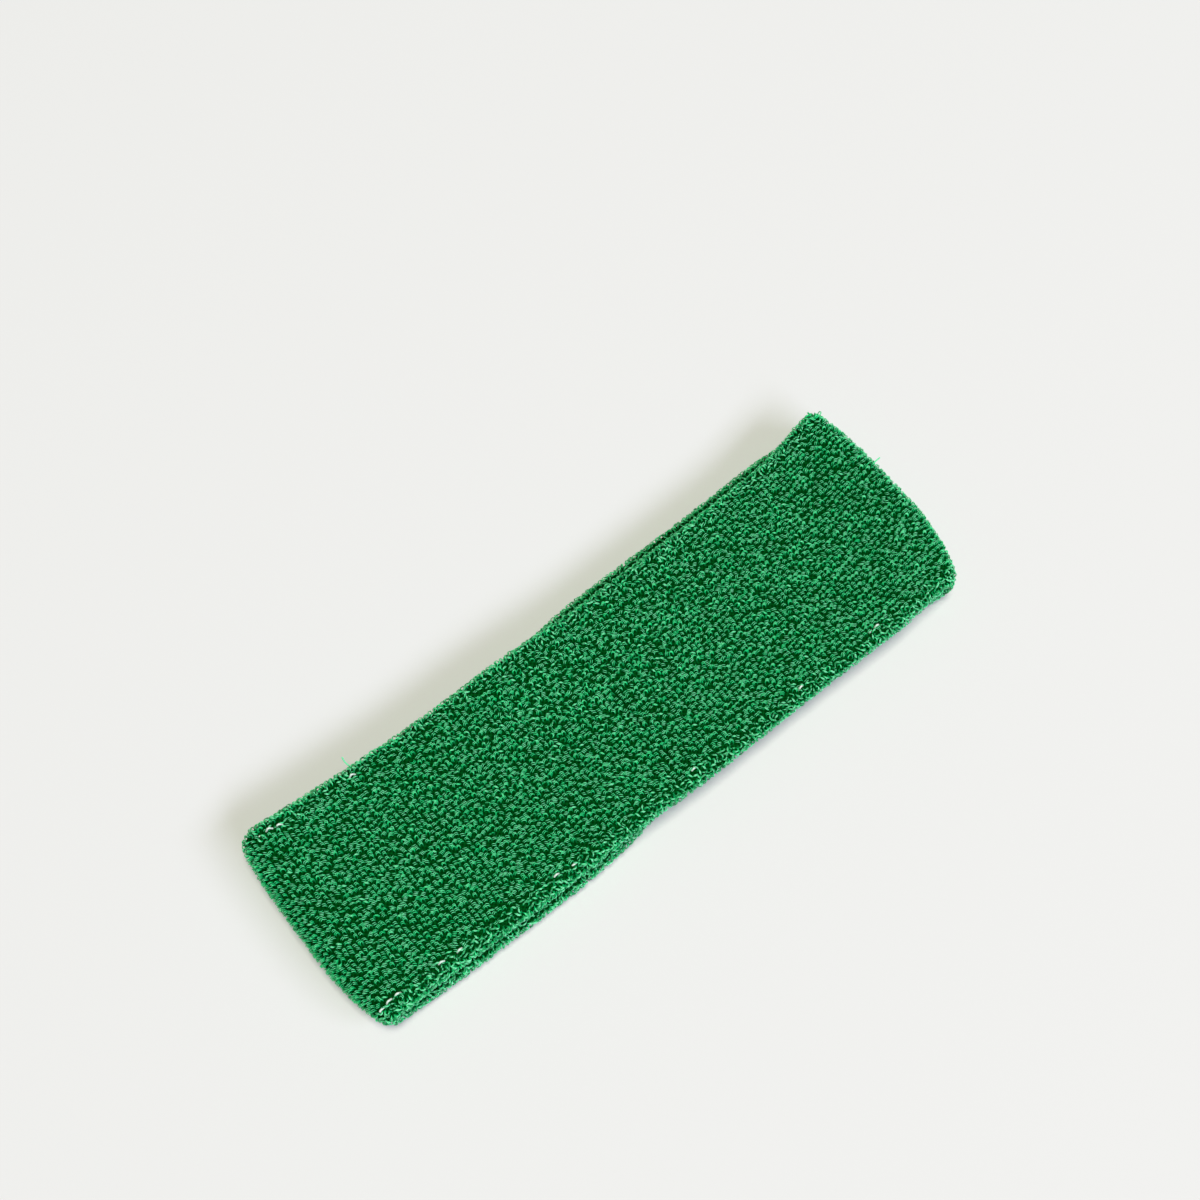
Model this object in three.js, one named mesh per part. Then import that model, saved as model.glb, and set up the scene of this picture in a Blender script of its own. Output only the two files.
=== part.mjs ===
// Terry sweat headband, lying flat: a two-ply knitted tube that is pressed into a flattened ring.
// Millimetres, +Z up, origin on the table under the middle of the band. +X runs from fold to fold,
// +Y is the side worn towards the crown of the head, -Y the side worn towards the brow.
//
// The ring is a knitted tube turned in on itself. The outer layer rolls round both long edges and
// ends in a narrow lip inside. Two flaps of the same knit line the band, and their free edges are
// linked along the middle. Covered rubber yarns lie between the layers as hoops. The ring is
// divided into a back panel that lies on the table, a front panel above it, and the two folded ends
// that join them, because those stretches move against each other when the mouth is pulled open.
import * as THREE from "three";

// Overall sizes of the band as it lies.
const LENGTH = 190;
const WIDTH = 58;
const HEAD_GAP = 5;

// The wall of the band.
const OUTER_LAYER = 2;
const INNER_LAYER = 1.8;
const LIP = 5;
const SEAM_DIAMETER = 1.6;
const ELASTIC_DIAMETER = 0.6;
const ELASTIC_COUNT = 8;
const CLEARANCE = 0.3;

// How far each folded end reaches in from its tip.
const FOLD_REACH = 12.5;

// Smoothness of the round shapes.
const FOLD_STEPS = 10;
const ROUND_SEGMENTS = 3;

// Sizes that follow from the ones above.
const CAVITY = ELASTIC_DIAMETER + 2 * CLEARANCE;
const WALL = OUTER_LAYER + CAVITY + INNER_LAYER;
const HEIGHT = 2 * WALL + HEAD_GAP;
const HALF_WIDTH = WIDTH / 2;
const EDGE_RADIUS = WALL / 2;
const FOLD_RADIUS = HEIGHT / 2;
const FOLD_CENTRE = LENGTH / 2 - FOLD_RADIUS;
const FOLD_START = LENGTH / 2 - FOLD_REACH;
const PANEL_LENGTH = 2 * (FOLD_START - CLEARANCE);
const CAVITY_HALF_WIDTH = HALF_WIDTH - OUTER_LAYER;
const FLAP_START = SEAM_DIAMETER / 2 + CLEARANCE;
const FLAP_END = HALF_WIDTH - LIP - CLEARANCE;
const SEAM_DEPTH = WALL - INNER_LAYER / 2;
const ELASTIC_DEPTH = OUTER_LAYER + CAVITY / 2;
const ELASTIC_SPREAD = 2 * (CAVITY_HALF_WIDTH - CAVITY);

const TERRY = { color: 0x0b8a45, roughness: 0.95, metalness: 0 };
const TERRY_LINING = { color: 0x0a7a3e, roughness: 0.95, metalness: 0 };
const LINKING_THREAD = { color: 0x076032, roughness: 0.8, metalness: 0 };
const COVERED_RUBBER = { color: 0xe8f0ea, roughness: 0.7, metalness: 0 };

// The line that the outside of a folded end follows: in along the front face, half round the tip
// and back along the back face. The first and last steps are straight and the others are equal
// steps of the half turn, so a sweep of FOLD_STEPS has a section exactly at each end of the turn.
class FoldLine extends THREE.Curve {
  getUtoTmapping(u) {
    return u;
  }

  turned(t) {
    const step = t * FOLD_STEPS;
    return (Math.PI * Math.min(Math.max(step - 1, 0), FOLD_STEPS - 2)) / (FOLD_STEPS - 2);
  }

  getPoint(t, target = new THREE.Vector3()) {
    const step = t * FOLD_STEPS;
    const angle = this.turned(t);
    const straight = 1 - Math.min(step, 1, FOLD_STEPS - step);
    const x = FOLD_CENTRE + FOLD_RADIUS * Math.sin(angle) - straight * (FOLD_CENTRE - FOLD_START);
    return target.set(x, 0, FOLD_RADIUS * (1 + Math.cos(angle)));
  }

  getTangent(t, target = new THREE.Vector3()) {
    const angle = this.turned(t);
    return target.set(Math.cos(angle), 0, -Math.sin(angle));
  }
}

// Sections are drawn with x as the depth below the outer face and y as the place across the width.

// The outer layer: full-round long edges, a slot for the elastic yarns and the opening between its
// two lips that the flaps fill.
function outerLayerSection() {
  const edge = HALF_WIDTH - EDGE_RADIUS;
  const slotEnd = CAVITY_HALF_WIDTH - CAVITY / 2;
  const lipEnd = HALF_WIDTH - LIP;
  const lipDepth = OUTER_LAYER + CAVITY;
  const shape = new THREE.Shape();
  shape.moveTo(0, -edge);
  shape.absarc(EDGE_RADIUS, -edge, EDGE_RADIUS, Math.PI, 2 * Math.PI, false);
  shape.lineTo(WALL, -lipEnd);
  shape.lineTo(lipDepth, -lipEnd);
  shape.absarc(ELASTIC_DEPTH, -slotEnd, CAVITY / 2, 2 * Math.PI, Math.PI, true);
  shape.absarc(ELASTIC_DEPTH, slotEnd, CAVITY / 2, Math.PI, 0, true);
  shape.lineTo(lipDepth, lipEnd);
  shape.lineTo(WALL, lipEnd);
  shape.absarc(EDGE_RADIUS, edge, EDGE_RADIUS, 0, Math.PI, false);
  shape.closePath();
  return shape;
}

// One lining flap, from the linked middle to the lip on the side that its sign names.
function flapSection(side) {
  const shape = new THREE.Shape();
  const low = side > 0 ? FLAP_START : -FLAP_END;
  const high = side > 0 ? FLAP_END : -FLAP_START;
  shape.moveTo(WALL - INNER_LAYER, low);
  shape.lineTo(WALL, low);
  shape.lineTo(WALL, high);
  shape.lineTo(WALL - INNER_LAYER, high);
  shape.closePath();
  return shape;
}

// A round yarn or seam at a depth in the wall and a place across the width.
function roundSection(depth, across, diameter) {
  const shape = new THREE.Shape();
  shape.absarc(depth, across, diameter / 2, 0, 2 * Math.PI, false);
  return shape;
}

// Where the elastic yarns lie across the width, evenly spread over the slot.
function elasticPlaces() {
  const pitch = ELASTIC_SPREAD / (ELASTIC_COUNT - 1);
  return Array.from({ length: ELASTIC_COUNT }, (_, i) => i * pitch - ELASTIC_SPREAD / 2);
}

// A section carried straight along a panel, its outer face up at z = 0 and its middle at x = 0.
function panelStrip(section) {
  const strip = new THREE.ExtrudeGeometry(section, {
    depth: PANEL_LENGTH,
    steps: 1,
    bevelEnabled: false,
    curveSegments: ROUND_SEGMENTS,
  });
  strip.translate(0, 0, -PANEL_LENGTH / 2);
  return strip.rotateY(Math.PI / 2);
}

// A section carried round a folded end.
function foldStrip(section) {
  return new THREE.ExtrudeGeometry(section, {
    extrudePath: new FoldLine(),
    steps: FOLD_STEPS,
    bevelEnabled: false,
    curveSegments: ROUND_SEGMENTS,
  });
}

// The pieces of one stretch of the band. The side names change over where the stretch is built
// turned about, so that crown is always +Y.
function stretchOfBand(name, strip, crownSide) {
  const stretch = new THREE.Group();
  const add = (node, section, finish) => {
    const mesh = new THREE.Mesh(strip(section), new THREE.MeshStandardMaterial(finish));
    mesh.name = `${node}_${name}`;
    stretch.add(mesh);
  };
  add("outer_layer", outerLayerSection(), TERRY);
  add("lining_flap_crown", flapSection(crownSide), TERRY_LINING);
  add("lining_flap_brow", flapSection(-crownSide), TERRY_LINING);
  add("linking_seam", roundSection(SEAM_DEPTH, 0, SEAM_DIAMETER), LINKING_THREAD);
  elasticPlaces().forEach((across, i) => {
    const section = roundSection(ELASTIC_DEPTH, crownSide * across, ELASTIC_DIAMETER);
    add(`elastic_yarn_${i + 1}`, section, COVERED_RUBBER);
  });
  return stretch;
}

const frontPanel = stretchOfBand("front", panelStrip, 1);
frontPanel.position.z = HEIGHT;

const backPanel = stretchOfBand("back", panelStrip, -1);
backPanel.rotation.x = Math.PI;

const rightFold = stretchOfBand("right_fold", foldStrip, 1);

const leftFold = stretchOfBand("left_fold", foldStrip, -1);
leftFold.rotation.z = Math.PI;

const headband = new THREE.Group();
headband.add(backPanel, frontPanel, rightFold, leftFold);

export default headband;
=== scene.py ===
"""Sweat headband in green looped terry, lying flat on a table.

The band is a circular-knitted terry tube, turned in on itself and linked along its inside, so each of
its two panels is two plies thick. It is built here in four quarters, front and back panel by left and
right end, because the panels part and the folded ends follow at half their speed when the mouth is
pulled open. Each quarter has a ground knit, pile loops on its outside and on its lining, elastic
yarns between the plies and a linking seam.

+X runs from fold to fold, +Y towards the edge worn at the crown and +Z up through the front panel.
"""

from __future__ import annotations

import logging
import math
from collections.abc import Iterable
from dataclasses import dataclass
from enum import Enum

import bmesh
import bpy
import numpy as np
from mathutils import Matrix, Vector


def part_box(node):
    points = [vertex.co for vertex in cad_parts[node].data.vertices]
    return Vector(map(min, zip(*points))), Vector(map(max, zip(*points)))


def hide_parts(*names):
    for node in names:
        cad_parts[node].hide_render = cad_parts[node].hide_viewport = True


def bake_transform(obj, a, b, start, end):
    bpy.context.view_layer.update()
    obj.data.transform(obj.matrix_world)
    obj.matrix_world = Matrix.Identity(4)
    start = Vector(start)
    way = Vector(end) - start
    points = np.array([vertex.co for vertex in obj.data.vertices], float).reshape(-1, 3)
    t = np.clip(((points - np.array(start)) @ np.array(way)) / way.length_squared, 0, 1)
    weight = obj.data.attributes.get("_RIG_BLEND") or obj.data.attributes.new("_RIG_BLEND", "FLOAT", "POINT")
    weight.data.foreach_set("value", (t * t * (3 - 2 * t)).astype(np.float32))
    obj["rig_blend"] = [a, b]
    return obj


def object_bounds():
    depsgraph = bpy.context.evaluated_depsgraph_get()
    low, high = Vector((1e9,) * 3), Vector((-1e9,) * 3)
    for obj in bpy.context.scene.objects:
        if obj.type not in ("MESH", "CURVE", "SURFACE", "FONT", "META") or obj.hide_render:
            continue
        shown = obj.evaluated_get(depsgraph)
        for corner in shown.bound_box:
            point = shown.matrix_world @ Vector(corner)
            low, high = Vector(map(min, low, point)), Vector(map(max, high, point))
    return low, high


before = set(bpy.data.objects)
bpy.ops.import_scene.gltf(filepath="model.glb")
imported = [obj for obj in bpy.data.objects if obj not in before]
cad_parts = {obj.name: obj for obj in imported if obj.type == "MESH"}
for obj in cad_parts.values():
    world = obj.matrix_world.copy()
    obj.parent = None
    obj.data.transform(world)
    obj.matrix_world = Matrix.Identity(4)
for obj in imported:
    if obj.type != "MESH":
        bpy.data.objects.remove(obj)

LOG = logging.getLogger("headband")
MM = 0.001
TABLE_CLEARANCE = 0.02 * MM
CAD_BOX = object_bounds()
Array = np.ndarray


class Panel(Enum):
    """The two panels of the flat band. The value is the way the panel faces along Z."""

    FRONT = 1
    BACK = -1

    @property
    def word(self) -> str:
        """The panel's name as the CAD nodes give it."""
        return self.name.lower()

    @property
    def body(self) -> str:
        """The CAD body that carries the middle of the panel."""
        return f"{self.word}_panel"


class End(Enum):
    """The two folded ends. The value is the way the end points along X."""

    LEFT = -1
    RIGHT = 1

    @property
    def word(self) -> str:
        """The end's name as the CAD nodes give it."""
        return self.name.lower()


class Face(Enum):
    """The two piles of a quarter: the one that shows and the one against the head."""

    OUTER = "outer"
    LINING = "lining"


def smoothstep(x: Array, low: float, high: float) -> Array:
    """A smooth rise from 0 at low to 1 at high."""
    t = np.clip((x - low) / (high - low), 0.0, 1.0)
    return t * t * (3.0 - 2.0 * t)


def unit(vectors: Array) -> Array:
    """Vectors scaled to length 1."""
    return vectors / np.linalg.norm(vectors, axis=-1, keepdims=True)


# ---------------------------------------------------------------- colours and nodes


def linear(hex_colour: str) -> tuple[float, float, float, float]:
    """Turns an sRGB hex colour to the linear RGBA that a shader socket takes.

    Args:
        hex_colour: six hex digits after a hash.

    Returns:
        Linear red, green and blue, and an alpha of 1.
    """
    channels = [int(hex_colour[i : i + 2], 16) / 255 for i in (1, 3, 5)]
    values = [c / 12.92 if c <= 0.04045 else ((c + 0.055) / 1.055) ** 2.4 for c in channels]
    return (*values, 1.0)


def add_node(
    tree: bpy.types.NodeTree, kind: str, settings: dict | None = None, **inputs: object
) -> bpy.types.Node:
    """Adds one node with its settings, socket values and links.

    Args:
        tree: the material's node tree.
        kind: the node's type, such as ShaderNodeTexNoise.
        settings: properties of the node itself.
        **inputs: a socket's name, with _ for a space, and either a value or the output linked to it.

    Returns:
        The new node.
    """
    node = tree.nodes.new(kind)
    for name, value in (settings or {}).items():
        setattr(node, name, value)
    for name, value in inputs.items():
        key = int(name[1:]) if name[0] == "i" and name[1:].isdigit() else name.replace("_", " ")
        socket = node.inputs[key]
        if isinstance(value, bpy.types.NodeSocket):
            tree.links.new(value, socket)
        else:
            socket.default_value = value
    return node


def new_material(name: str) -> tuple[bpy.types.Material, bpy.types.NodeTree, bpy.types.Node]:
    """Makes an empty node material.

    Args:
        name: the material's name.

    Returns:
        The material, its node tree and its output node.
    """
    material = bpy.data.materials.new(name)
    material.use_nodes = True
    tree = material.node_tree
    tree.nodes.clear()
    return material, tree, tree.nodes.new("ShaderNodeOutputMaterial")


@dataclass(frozen=True)
class YarnFinish:
    """A dyed spun yarn with a soft lustre along its fibres.

    The yarn's colour runs from a painted shade, at a loop's root and on the inside of its bend, through the
    dye's own colour to a painted highlight at the tip, by a per-point attribute that holds each loop's own
    random tone times painted light and shade. The root is painted dark for the shade of the other loops, and
    the high ridges are painted pale for the light they catch.
    """

    name: str
    deep: str
    dye: str
    tip: str
    fibre: float
    roughness: float
    sheen: float
    lustre: str
    mottle: float = 0.08
    dye_tone: float = 0.62

    def make(self) -> bpy.types.Material:
        """Builds the yarn's material.

        Returns:
            The material.
        """
        material, tree, output = new_material(self.name)
        place = add_node(tree, "ShaderNodeTexCoord").outputs["Object"]
        tone = add_node(tree, "ShaderNodeAttribute", {"attribute_name": "tone"}).outputs["Fac"]
        patches = add_node(tree, "ShaderNodeTexNoise", Vector=place, Scale=1 / (6 * MM), Detail=2.0)
        # Random patches of tone, added to the per-point tone and painted shade.
        mottle_and_shade = add_node(
            tree, "ShaderNodeMath", {"operation": "MULTIPLY_ADD"},
            i0=patches.outputs["Fac"], i1=self.mottle, i2=tone,
        )
        # The ramp's dark end is painted shade and its pale end is a painted highlight.
        colour = add_node(tree, "ShaderNodeValToRGB", Fac=mottle_and_shade.outputs[0])
        ramp = colour.color_ramp.elements
        ramp[0].color, ramp[1].color = linear(self.deep), linear(self.tip)
        ramp.new(self.dye_tone).color = linear(self.dye)
        fibres = add_node(tree, "ShaderNodeTexNoise", Vector=place, Scale=1 / self.fibre, Detail=1.0)
        bump = add_node(
            tree, "ShaderNodeBump", Strength=0.35, Distance=0.03 * MM, Height=fibres.outputs["Fac"]
        )
        shader = add_node(
            tree, "ShaderNodeBsdfPrincipled",
            Base_Color=colour.outputs["Color"], Roughness=self.roughness, IOR=1.5,
            Specular_IOR_Level=1.0, Specular_Tint=linear(self.lustre), Normal=bump.outputs["Normal"],
            Sheen_Weight=self.sheen, Sheen_Roughness=0.4, Sheen_Tint=linear(self.lustre),
        )
        tree.links.new(shader.outputs[0], output.inputs["Surface"])
        return material


@dataclass(frozen=True)
class KnitFinish:
    """The ground knit under the pile: plain stitches of a fine yarn, with both colours painted dark as the
    shade that the pile casts on it.
    """

    name: str
    deep: str
    light: str
    course: float
    wale: float

    def make(self) -> bpy.types.Material:
        """Builds the knit's material, whose courses and wales follow the piece's own UV map.

        Returns:
            The material.
        """
        material, tree, output = new_material(self.name)
        place = add_node(tree, "ShaderNodeUVMap", {"uv_map": "knit"}).outputs["UV"]
        parts = add_node(tree, "ShaderNodeSeparateXYZ", Vector=place)
        ribs = []
        for axis, pitch in (("X", self.wale), ("Y", self.course)):
            turns = add_node(
                tree, "ShaderNodeMath", {"operation": "MULTIPLY"},
                i0=parts.outputs[axis], i1=math.tau / pitch,
            )
            wave = add_node(tree, "ShaderNodeMath", {"operation": "SINE"}, i0=turns.outputs[0])
            ribs.append(wave.outputs[0])
        stitches = add_node(tree, "ShaderNodeMath", {"operation": "MULTIPLY"}, i0=ribs[0], i1=ribs[1])
        share = add_node(
            tree, "ShaderNodeMapRange", Value=stitches.outputs[0], From_Min=-1.0, From_Max=1.0
        )
        colour = add_node(
            tree, "ShaderNodeMix", {"data_type": "RGBA"},
            i0=share.outputs[0], i6=linear(self.deep), i7=linear(self.light),
        )
        bump = add_node(
            tree, "ShaderNodeBump", Strength=0.8, Distance=0.2 * MM, Height=share.outputs[0]
        )
        shader = add_node(
            tree, "ShaderNodeBsdfPrincipled",
            Base_Color=colour.outputs[2], Roughness=0.9, Specular_IOR_Level=0.0,
            Normal=bump.outputs["Normal"],
        )
        tree.links.new(shader.outputs[0], output.inputs["Surface"])
        return material


@dataclass(frozen=True)
class PlainFinish:
    """A plain matt surface of one colour, for the table."""

    name: str
    colour: str
    roughness: float

    def make(self) -> bpy.types.Material:
        """Builds the table's material.

        Returns:
            The material.
        """
        material, tree, output = new_material(self.name)
        shader = add_node(
            tree, "ShaderNodeBsdfPrincipled",
            Base_Color=linear(self.colour), Roughness=self.roughness, Specular_IOR_Level=0.2,
        )
        tree.links.new(shader.outputs[0], output.inputs["Surface"])
        return material


# Combed cotton and polyester pile yarn, dyed a clear mid green, with a soft lustre along its fibres. Its
# darkest colour is painted shade and its palest a painted highlight.
PILE_YARN = YarnFinish(
    name="cotton_terry_pile", deep="#004E16", dye="#02EC88", tip="#A6FFD6", fibre=0.12 * MM,
    roughness=0.28, sheen=0.1, lustre="#8CFFC4",
)
# The same yarn against the head: less light reaches it, so its colours are painted darker as shade, and it
# is pressed flatter.
LINING_YARN = YarnFinish(
    name="cotton_terry_lining_pile", deep="#00521D", dye="#04A554", tip="#4FCB8B",
    fibre=0.12 * MM, roughness=0.5, sheen=0.1, lustre="#9CFFC9",
)
# Plain knitted ground, which shows only as the dark between the loops. Its colours are painted shade.
GROUND_KNIT = KnitFinish(
    name="plain_knit_ground", deep="#002C08", light="#005019", course=1.28 * MM, wale=1.30 * MM
)
# Rubber core wrapped in textured white nylon, which gives the white flecks near the edges.
COVERED_RUBBER = YarnFinish(
    name="nylon_covered_rubber", deep="#A9D9C0", dye="#D6F2E3", tip="#F4FFF8", fibre=0.08 * MM,
    roughness=0.45, sheen=0.3, lustre="#FFFFFF", mottle=0.1,
)
# Spun polyester linking thread in a deeper green than the pile. Its darkest colour is painted shade and its
# palest a painted highlight.
LINKING_THREAD = YarnFinish(
    name="spun_polyester_linking_thread", deep="#005524", dye="#0A8A48", tip="#2FB070",
    fibre=0.1 * MM, roughness=0.45, sheen=0.1, lustre="#9CFFC9",
)
# Seamless studio table, matt and pale.
TABLE_TOP = PlainFinish(name="matt_studio_table", colour="#E8E8E8", roughness=0.9)


# ---------------------------------------------------------------- the form of the band


@dataclass(frozen=True)
class BandForm:
    """The shape of the band as it lies: where any point of its knit is.

    A point is given by its station, the distance from the middle of the band along the wall towards
    an end, by its place round the ply tube, which is 0 on the middle of the outside and grows
    towards the crown edge and round it to the linked middle of the lining, and by its lift off the
    ground knit.
    """

    length: float
    width: float
    height: float
    wall: float
    reach: float
    pile: float = 1.4 * MM
    ply: float = 1.0 * MM
    rim: float = 2.3 * MM
    rim_blend: float = 7.0 * MM
    waist: float = 0.8 * MM
    flare_left_brow: float = 1.9 * MM
    flare_left_crown: float = 1.4 * MM
    flare_right_brow: float = 2.0 * MM
    flare_right_crown: float = 3.4 * MM
    tip_lift: float = 0.9 * MM
    tip_reach: float = 18 * MM
    dip: float = 1.4 * MM
    dip_place: float = -36 * MM
    dip_reach: float = 30 * MM
    slip: float = 4.2 * MM
    show: float = 0.75 * MM
    sag: float = 0.45 * MM
    ripple: float = 0.22 * MM
    trim_left_brow: float = 4.8 * MM
    trim_left_crown: float = 1.8 * MM
    trim_right_brow: float = 6.8 * MM
    trim_right_crown: float = 2.2 * MM

    @classmethod
    def from_frame(cls) -> BandForm:
        """Takes the band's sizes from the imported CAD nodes.

        Returns:
            The form.
        """
        panel_low, panel_high = (Vector(p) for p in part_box("outer_layer_front"))
        low, high = (Vector(p) for p in CAD_BOX)
        return cls(
            length=high.x - low.x,
            width=high.y - low.y,
            height=high.z - low.z,
            wall=panel_high.z - panel_low.z,
            reach=panel_high.x,
        )

    @property
    def turn_radius(self) -> float:
        """Radius of the fold along the middle of the wall."""
        return (self.height - self.wall) / 2

    @property
    def turn_centre(self) -> float:
        """Distance from the band's middle to the middle of the fold's half turn."""
        return (self.length - self.height) / 2

    @property
    def last_station(self) -> float:
        """The station of the fold's tip, where front and back quarters meet."""
        return self.turn_centre + self.turn_radius * math.pi / 2

    @property
    def flat_half(self) -> float:
        """Half the width of the ply tube between its two rolled edges."""
        return self.width / 2 - self.pile - self.rim

    @property
    def tube_half(self) -> float:
        """Half the way round the ply tube, from the middle of the outside to the linked edge."""
        return 2 * self.flat_half + math.pi * self.rim

    def section(self, place: Array) -> tuple[Array, Array, Array, Array]:
        """Finds where a place round the ply tube lies in the band's cross-section.

        Args:
            place: places round the tube.

        Returns:
            The distance across the band, the depth outwards from the middle of the wall, and the
            two parts of the outward normal.
        """
        side, way = np.sign(place), np.abs(place)
        flat, rim = self.flat_half, self.rim
        turn = np.clip((way - flat) / rim, 0.0, math.pi)
        across = np.where(way < flat, way, flat + rim * np.sin(turn))
        across = np.where(turn >= math.pi, flat - (way - flat - math.pi * rim), across)
        outside = self.wall / 2 - self.pile
        swell = smoothstep(across, flat - self.rim_blend, flat)
        thickness = 2 * (self.ply + (self.rim - self.ply) * swell)
        depth = np.where(way < flat, outside, outside - rim + rim * np.cos(turn))
        depth = np.where(turn >= math.pi, outside - thickness, depth)
        return side * across, depth, side * np.sin(turn), np.cos(turn)

    def outline(self, x: Array, y: Array, panel: Panel) -> tuple[Array, Array]:
        """Carries a point of the plain straight band to the soft outline of the real one.

        The knit draws in along its middle, so the band is waisted. The ends bow outwards with
        rounded corners, more at the brow side. The panels have slipped past each other along the
        right, so that the front one overhangs the back one at the brow edge.

        Args:
            x: distances along the plain band.
            y: distances across it.
            panel: the panel that the points lie on.

        Returns:
            The points' x and y on the real outline.
        """
        half = self.length / 2
        share = np.abs(x) / half
        left, brow = x < 0, y < 0
        flare = np.select(
            [left & brow, left, brow], [self.flare_left_brow, self.flare_left_crown, self.flare_right_brow],
            self.flare_right_crown,
        )
        y = y * (1 + (-self.waist + flare * share**4) / (self.width / 2))
        y = y + self.tip_lift * np.exp(-(((x + half) / self.tip_reach) ** 2))
        y = y - self.dip * np.exp(-(((x - self.dip_place) / self.dip_reach) ** 2))
        slipped = smoothstep(x, -25 * MM, 10 * MM) * (1 - smoothstep(x, 65 * MM, 92 * MM))
        y = y - panel.value * self.slip / 2 * slipped
        if panel is Panel.BACK:
            y = y - self.show * smoothstep(x, -93 * MM, -70 * MM) * (1 - smoothstep(x, -35 * MM, 0.0))
        across = np.abs(y) / (self.width / 2)
        trim = np.select(
            [left & brow, left, brow],
            [
                self.trim_left_brow * across**2.6,
                self.trim_left_crown * across**5,
                self.trim_right_brow * across**2.6,
            ],
            self.trim_right_crown * across**3,
        )
        return x - np.sign(x) * trim * share**5, y

    def settle(self, x: Array, y: Array, panel: Panel) -> Array:
        """How far the front panel sinks between its edges and rolls in soft waves.

        Args:
            x: distances along the band.
            y: distances across it.
            panel: the panel that the points lie on.

        Returns:
            The depth that each point has sunk.
        """
        if panel is Panel.BACK:
            return np.zeros_like(x)
        middle = 1 - np.clip(np.abs(x) / (self.length / 2), 0, 1) ** 3
        between = 1 - np.clip(np.abs(y) / (self.width / 2), 0, 1) ** 4
        waves = np.sin(x / (17 * MM) + y / (40 * MM)) + 0.6 * np.sin(x / (9.5 * MM) - y / (13 * MM) + 1.3)
        return middle * between * (self.sag + self.ripple * waves)

    def at(self, station: Array, place: Array, lift: Array | float, panel: Panel, end: End) -> Array:
        """Finds points of one quarter in the row's frame.

        Args:
            station: distances from the band's middle towards the end.
            place: places round the ply tube.
            lift: distances off the ground knit.
            panel: the quarter's panel.
            end: the quarter's end.

        Returns:
            One row of x, y and z for each point.
        """
        across, depth, out_y, out_d = self.section(place)
        across, depth = across + lift * out_y, depth + lift * out_d
        angle = np.clip((station - self.turn_centre) / self.turn_radius, 0.0, math.pi / 2)
        radius = self.turn_radius + depth
        x = end.value * (np.minimum(station, self.turn_centre) + radius * np.sin(angle))
        z = self.height / 2 + panel.value * radius * np.cos(angle)
        x, y = self.outline(x, across, panel)
        z = z - self.settle(x, y, panel) * np.cos(angle)
        return np.stack([x, y, z], -1)

    def axes(
        self, station: Array, place: Array, panel: Panel, end: End
    ) -> tuple[Array, Array, Array, Array]:
        """Finds points on the ground knit and the way the knit runs there.

        Args:
            station: distances from the band's middle towards the end.
            place: places round the ply tube.
            panel: the quarter's panel.
            end: the quarter's end.

        Returns:
            The points, and unit vectors along the courses towards +X, across them and outwards.
        """
        step = 0.05 * MM
        origin = self.at(station, place, 0.0, panel, end)
        out = unit(self.at(station, place, step, panel, end) - origin)
        ahead = self.at(station + step, place, 0.0, panel, end)
        behind = self.at(station - step, place, 0.0, panel, end)
        along = end.value * (ahead - behind)
        along = unit(along - out * np.sum(along * out, -1, keepdims=True))
        return origin, along, np.cross(out, along), out


@dataclass(frozen=True)
class Quarter:
    """One quarter of the band: half of a panel, from the band's middle to the tip of a fold."""

    form: BandForm
    panel: Panel
    end: End

    @property
    def word(self) -> str:
        """The quarter's name in the names of its pieces."""
        return f"{self.panel.word}_{self.end.word}"

    @property
    def seed(self) -> int:
        """A fixed start for this quarter's random draws."""
        return 10 * (self.panel.value + 2) + self.end.value + 2

    def nodes(self, *stems: str) -> list[str]:
        """The CAD nodes of these kinds that lie in this quarter."""
        return [f"{stem}_{place}" for stem in stems for place in (self.panel.word, f"{self.end.word}_fold")]

    def carry(self, piece: bpy.types.Object, slot: str, *stems: str) -> bpy.types.Object:
        """Makes a finished piece move with the band.

        The piece follows its panel at the band's middle and turns smoothly to the folded end.

        Args:
            piece: the finished piece, at the origin.
            slot: a material slot's name, which is not used.
            *stems: the kinds of CAD node that it stands for.

        Returns:
            The piece.
        """
        if stems:
            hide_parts(*self.nodes(*stems))
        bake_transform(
            piece, self.panel.body, "folded_ends",
            start=(0, 0, 0), end=(self.end.value * self.form.reach, 0, 0),
        )
        return piece


# ---------------------------------------------------------------- meshes


def object_from_bmesh(name: str, shape: bmesh.types.BMesh, material: bpy.types.Material) -> bpy.types.Object:
    """Turns a finished bmesh into a smooth-shaded object and frees it.

    Args:
        name: the piece's name.
        shape: the finished bmesh.
        material: the piece's one material.

    Returns:
        The piece.
    """
    mesh = bpy.data.meshes.new(name)
    shape.to_mesh(mesh)
    shape.free()
    mesh.shade_smooth()
    return object_from_mesh(name, mesh, material)


def object_from_mesh(name: str, mesh: bpy.types.Mesh, material: bpy.types.Material) -> bpy.types.Object:
    """Puts a mesh in the scene under a name, in one material.

    Args:
        name: the piece's name.
        mesh: its mesh.
        material: its one material.

    Returns:
        The piece.
    """
    mesh.materials.clear()
    mesh.materials.append(material)
    piece = bpy.data.objects.new(name, mesh)
    bpy.context.scene.collection.objects.link(piece)
    return piece


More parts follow.
